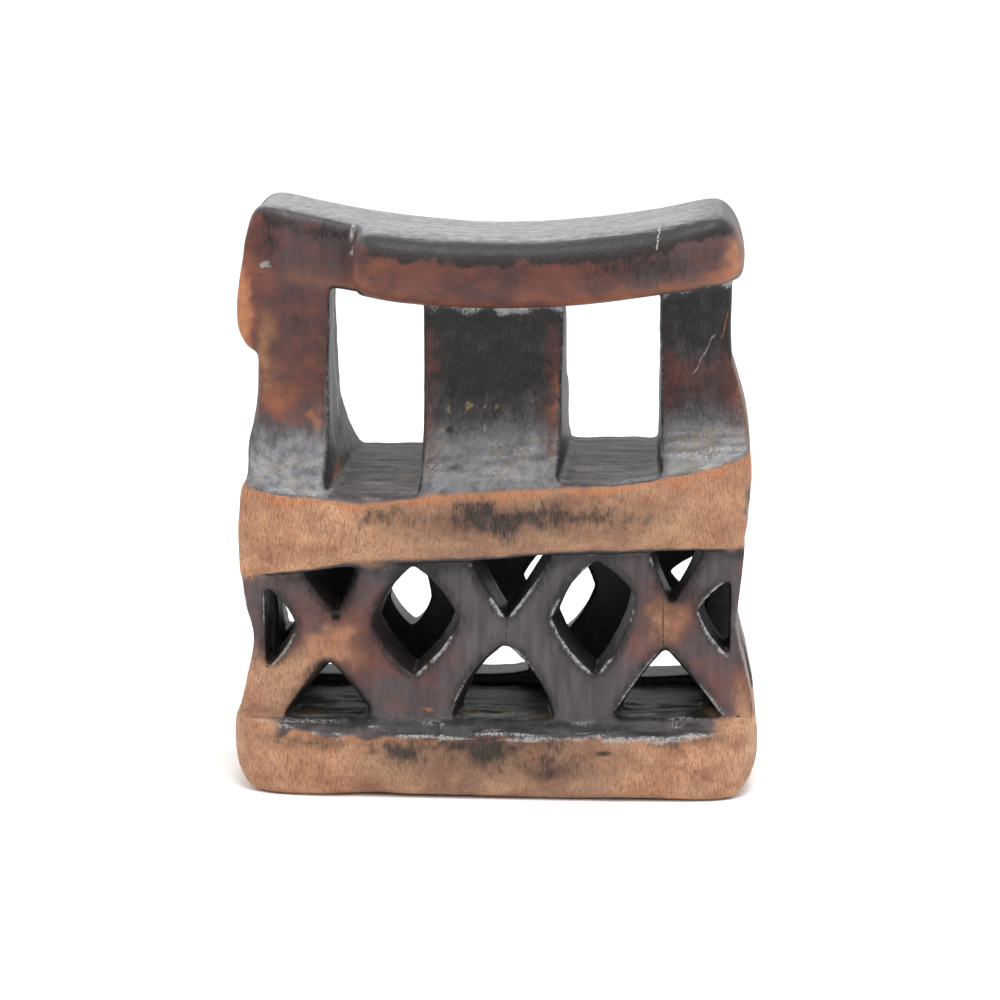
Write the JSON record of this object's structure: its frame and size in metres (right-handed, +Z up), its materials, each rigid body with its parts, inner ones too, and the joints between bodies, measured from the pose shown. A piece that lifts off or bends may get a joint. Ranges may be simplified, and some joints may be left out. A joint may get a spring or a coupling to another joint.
{
  "type": "wooden headrest",
  "caption": "Carved one-block wooden headrest: dished head bar on three flared posts above a solid band, an open storey of crossed struts and a plinth",
  "frame": {"origin": "middle of the flat underside of the plinth", "axes": "+X along the head bar, to the right seen from the front; +Y to the back; +Z up"},
  "size_m": [0.14, 0.06, 0.156],
  "materials": {
    "handled_tan_wood": "old hand-worn hardwood, orange tan with dark grain flecks and blackened patches",
    "polished_dark_wood": "old hardwood polished by use, red brown below and dark grey above",
    "red_brown_wood": "old oiled hardwood, dark red brown with a grey sheen low down",
    "smoked_wood": "smoke blackened hardwood with a grey sheen low down",
    "smoked_strut_wood": "smoke darkened hardwood, grey purple with red brown wear where struts cross"
  },
  "bodies": {
    "root": {"base_plinth": "handled_tan_wood", "front_left_cross": "smoked_strut_wood", "front_centre_cross": "smoked_strut_wood", "front_right_cross": "smoked_strut_wood", "back_left_cross": "smoked_strut_wood", "back_centre_cross": "smoked_strut_wood", "back_right_cross": "smoked_strut_wood", "left_side_cross": "smoked_strut_wood", "right_side_cross": "smoked_strut_wood", "front_left_corner": "smoked_strut_wood", "front_right_corner": "smoked_strut_wood", "back_left_corner": "smoked_strut_wood", "back_right_corner": "smoked_strut_wood", "middle_band": "handled_tan_wood", "left_post": "red_brown_wood", "centre_post": "smoked_wood", "right_post": "red_brown_wood", "left_lug": "red_brown_wood", "head_bar": "polished_dark_wood"}
  },
  "joints": []
}
